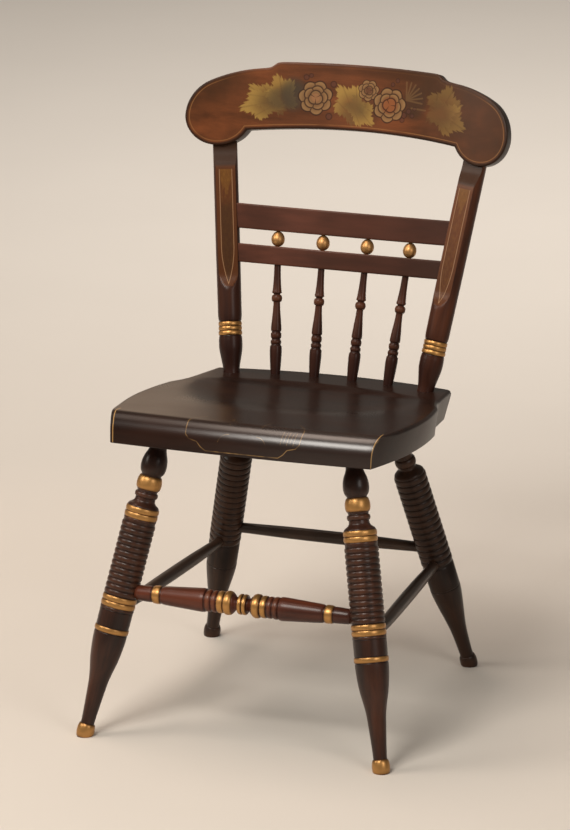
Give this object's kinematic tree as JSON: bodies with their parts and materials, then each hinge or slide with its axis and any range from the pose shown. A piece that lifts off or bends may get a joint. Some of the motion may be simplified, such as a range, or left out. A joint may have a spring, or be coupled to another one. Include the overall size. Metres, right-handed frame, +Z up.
{
  "type": "side chair",
  "caption": "Painted wooden side chair: dished plank seat, splayed ribbed legs with turned stretchers, spindle back and a scroll-ended crest rail with gold and stencilled ornament",
  "frame": {"origin": "on the floor, under the middle of the chair's bounding box", "axes": "+X to the right of a viewer who faces the chair's front, +Y from the front edge of the seat to the back, +Z up"},
  "size_m": [0.488, 0.5849, 0.8646],
  "materials": {
    "seat_paint": "glossy near-black brown paint, worn at the rim",
    "dark_paint": "glossy dark brown paint with gold bands",
    "stretcher_paint": "satin red-brown paint with gold beads",
    "back_paint": "satin red-brown grained paint with gold lines and stencilled leaves and flowers"
  },
  "bodies": {
    "root": {"back_ball_1": "back_paint", "back_ball_2": "back_paint", "back_ball_3": "back_paint", "back_ball_4": "back_paint", "back_spindle_1": "back_paint", "back_spindle_2": "back_paint", "back_spindle_3": "back_paint", "back_spindle_4": "back_paint", "crest_rail": "back_paint", "front_leg_left": "dark_paint", "front_leg_right": "dark_paint", "front_stretcher": "stretcher_paint", "lower_back_rail": "back_paint", "rear_leg_left": "dark_paint", "rear_leg_right": "dark_paint", "rear_stretcher": "stretcher_paint", "seat_board_1": "seat_paint", "seat_board_2": "seat_paint", "seat_board_3": "seat_paint", "seat_board_4": "seat_paint", "side_stretcher_left": "stretcher_paint", "side_stretcher_right": "stretcher_paint", "stile_left": "back_paint", "stile_right": "back_paint", "upper_back_rail": "back_paint"}
  },
  "joints": []
}
